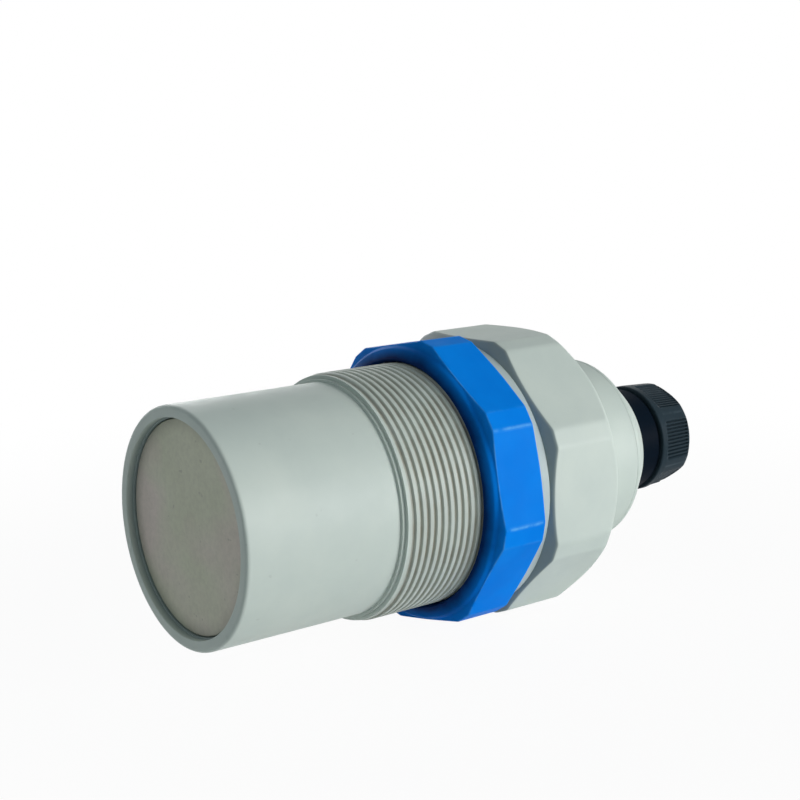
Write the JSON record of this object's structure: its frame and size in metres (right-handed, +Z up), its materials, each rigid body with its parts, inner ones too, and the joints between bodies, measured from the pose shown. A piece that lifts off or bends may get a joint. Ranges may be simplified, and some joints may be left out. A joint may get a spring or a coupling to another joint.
{
  "type": "ultrasonic level sensor",
  "caption": "Plastic ultrasonic level sensor with a recessed round sensing face, threaded barrel, octagonal head, blue lock nut, sealing washer and a cable gland at the rear",
  "frame": {"origin": "On the sensor's axis, in the plane of the octagonal head's sealing face, where the mounting thread ends", "axes": "+X runs along the axis from the sensing face to the cable gland, +Z is up, and one flat of the octagonal head faces down"},
  "size_m": [0.1559, 0.0718, 0.0718],
  "materials": {
    "housing_grey": "light warm grey moulded plastic, lightly satin",
    "washer_grey": "pale grey moulded washer",
    "nut_blue": "bright blue moulded plastic, satin",
    "rubber_black": "black sealing rubber",
    "gland_black": "black nylon, satin",
    "face_taupe": "grey-brown filled resin, matt",
    "silvered_ceramic": "ceramic with silver electrodes",
    "damping_brown": "filled damping compound",
    "cork_tan": "soft cork and rubber",
    "tinned_metal": "tinned metal",
    "lead_red": "insulated wire",
    "connector_white": "off-white nylon",
    "board_green": "green solder mask",
    "ferrite_dark": "ferrite",
    "winding_amber": "taped winding",
    "can_aluminium": "drawn metal can",
    "terminal_green": "green moulded terminal",
    "chip_black": "moulded chip package"
  },
  "bodies": {
    "sensor": {"housing": "housing_grey", "rear_cap": "housing_grey", "rear_cap_oring": "rubber_black", "gland_body": "gland_black", "gland_oring": "rubber_black", "gland_locknut": "gland_black", "face_disc": "face_taupe", "piezo_disc": "silvered_ceramic", "damping_pad": "damping_brown", "decoupling_cup": "cork_tan", "temperature_probe": "tinned_metal", "probe_leads": "tinned_metal", "transducer_leads": "lead_red", "transducer_plug": "connector_white", "transducer_header": "connector_white", "circuit_board": "board_green", "transformer_core": "ferrite_dark", "transformer_winding": "winding_amber", "storage_capacitors": "can_aluminium", "terminal_block": "terminal_green", "terminal_screws": "tinned_metal", "microcontroller": "chip_black", "amplifier_chips": "chip_black", "crystal": "can_aluminium", "voltage_regulator": "chip_black", "chip_resistors": "chip_black"},
    "washer": {"sealing_washer": "washer_grey"},
    "nut": {"lock_nut": "nut_blue"},
    "seal": {"gland_seal": "rubber_black"},
    "dome_nut": {"gland_nut": "gland_black"}
  },
  "joints": [
    {"name": "washer_slide", "type": "slide", "parent": "sensor", "child": "washer", "axis": [-1, 0, 0], "range_m": [0, 0.0201]},
    {"name": "lock_nut_turn", "type": "hinge", "parent": "washer", "child": "nut", "pos_m": [-0.0095, 0, 0], "axis": [-1, 0, 0], "range_deg": [0, 3600]},
    {"name": "gland_seal_slide", "type": "slide", "parent": "sensor", "child": "seal", "axis": [1, 0, 0], "range_m": [0, 0.00451]},
    {"name": "gland_nut_turn", "type": "hinge", "parent": "seal", "child": "dome_nut", "pos_m": [0.067, 0, 0], "axis": [1, 0, 0], "range_deg": [0, 1080]}
  ],
  "couplings": [
    {"joint": "washer_slide", "follows": "lock_nut_turn", "m_per_rad": 0.00031831},
    {"joint": "gland_seal_slide", "follows": "gland_nut_turn", "m_per_rad": 0.00023873}
  ]
}
